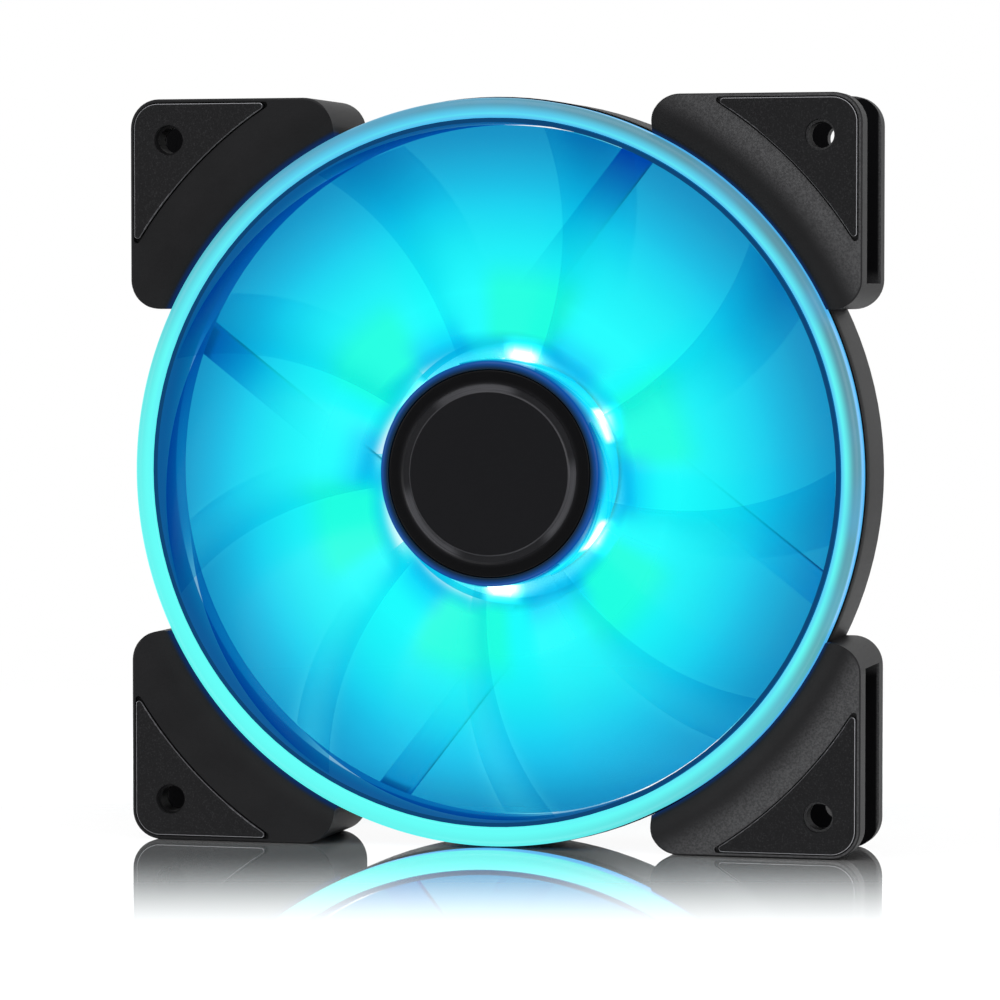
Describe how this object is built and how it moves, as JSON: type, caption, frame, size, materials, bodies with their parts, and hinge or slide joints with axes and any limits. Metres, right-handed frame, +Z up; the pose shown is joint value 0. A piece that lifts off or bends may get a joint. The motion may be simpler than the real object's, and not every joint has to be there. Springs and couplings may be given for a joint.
{
  "type": "case fan",
  "caption": "Square case fan with a translucent lit impeller in a round duct, a glowing halo ring round the intake, slotted corner blocks and triangular rubber pads.",
  "frame": {"origin": "middle of the fan, on the spin axis, halfway between the front and rear pads", "axes": "+Y along the spin axis towards the exhaust side, +X right and +Z up seen from the intake side"},
  "size_m": [0.14, 0.025, 0.14],
  "materials": {
    "black_moulding": "fine spark-eroded texture, satin black",
    "ring_diffuser": "frosted translucent diffuser, lit cyan",
    "impeller_plastic": "translucent, lit cyan from the hub",
    "hub_black": "semi-gloss black",
    "pad_rubber": "fine-grained rubber",
    "pressed_steel": "pressed and zinc plated",
    "ground_steel": "ground",
    "lamination_steel": "punched laminations",
    "bonded_ferrite": "bonded ferrite, matt",
    "brass": "turned",
    "sintered_bronze": "sintered",
    "copper_wire": "enamelled wire",
    "nylon": "natural nylon",
    "insulator_nylon": "natural nylon",
    "board_laminate": "white solder mask over glass laminate",
    "led_lens": "clear lens over a lit chip",
    "chip_black": "moulded epoxy",
    "label_foil": "blank satin label"
  },
  "bodies": {
    "frame": {"frame": "black_moulding", "halo_ring": "ring_diffuser", "front_pad_top_right": "pad_rubber", "front_pad_top_left": "pad_rubber", "front_pad_bottom_left": "pad_rubber", "front_pad_bottom_right": "pad_rubber", "rear_pad_top_right": "pad_rubber", "rear_pad_top_left": "pad_rubber", "rear_pad_bottom_left": "pad_rubber", "rear_pad_bottom_right": "pad_rubber", "bearing_tube": "brass", "bearing_sleeve": "sintered_bronze", "oil_seal": "nylon", "thrust_pad": "nylon", "bearing_plug": "nylon", "stator_core": "lamination_steel", "front_insulator": "insulator_nylon", "rear_insulator": "insulator_nylon", "coil_windings": "copper_wire", "terminal_pins": "ground_steel", "circuit_board": "board_laminate", "led_lamps": "led_lens", "driver_chip": "chip_black", "hall_sensor": "chip_black", "board_components": "chip_black", "rear_label": "label_foil"},
    "rotor": {"impeller": "impeller_plastic", "hub_cap": "hub_black", "rotor_yoke": "pressed_steel", "ring_magnet": "bonded_ferrite", "shaft_boss": "brass", "shaft": "ground_steel", "retaining_clip": "ground_steel"}
  },
  "joints": [
    {"name": "rotor_spin", "type": "hinge", "parent": "frame", "child": "rotor", "pos_m": [0, 0, 0], "axis": [0, -1, 0], "continuous": true}
  ]
}
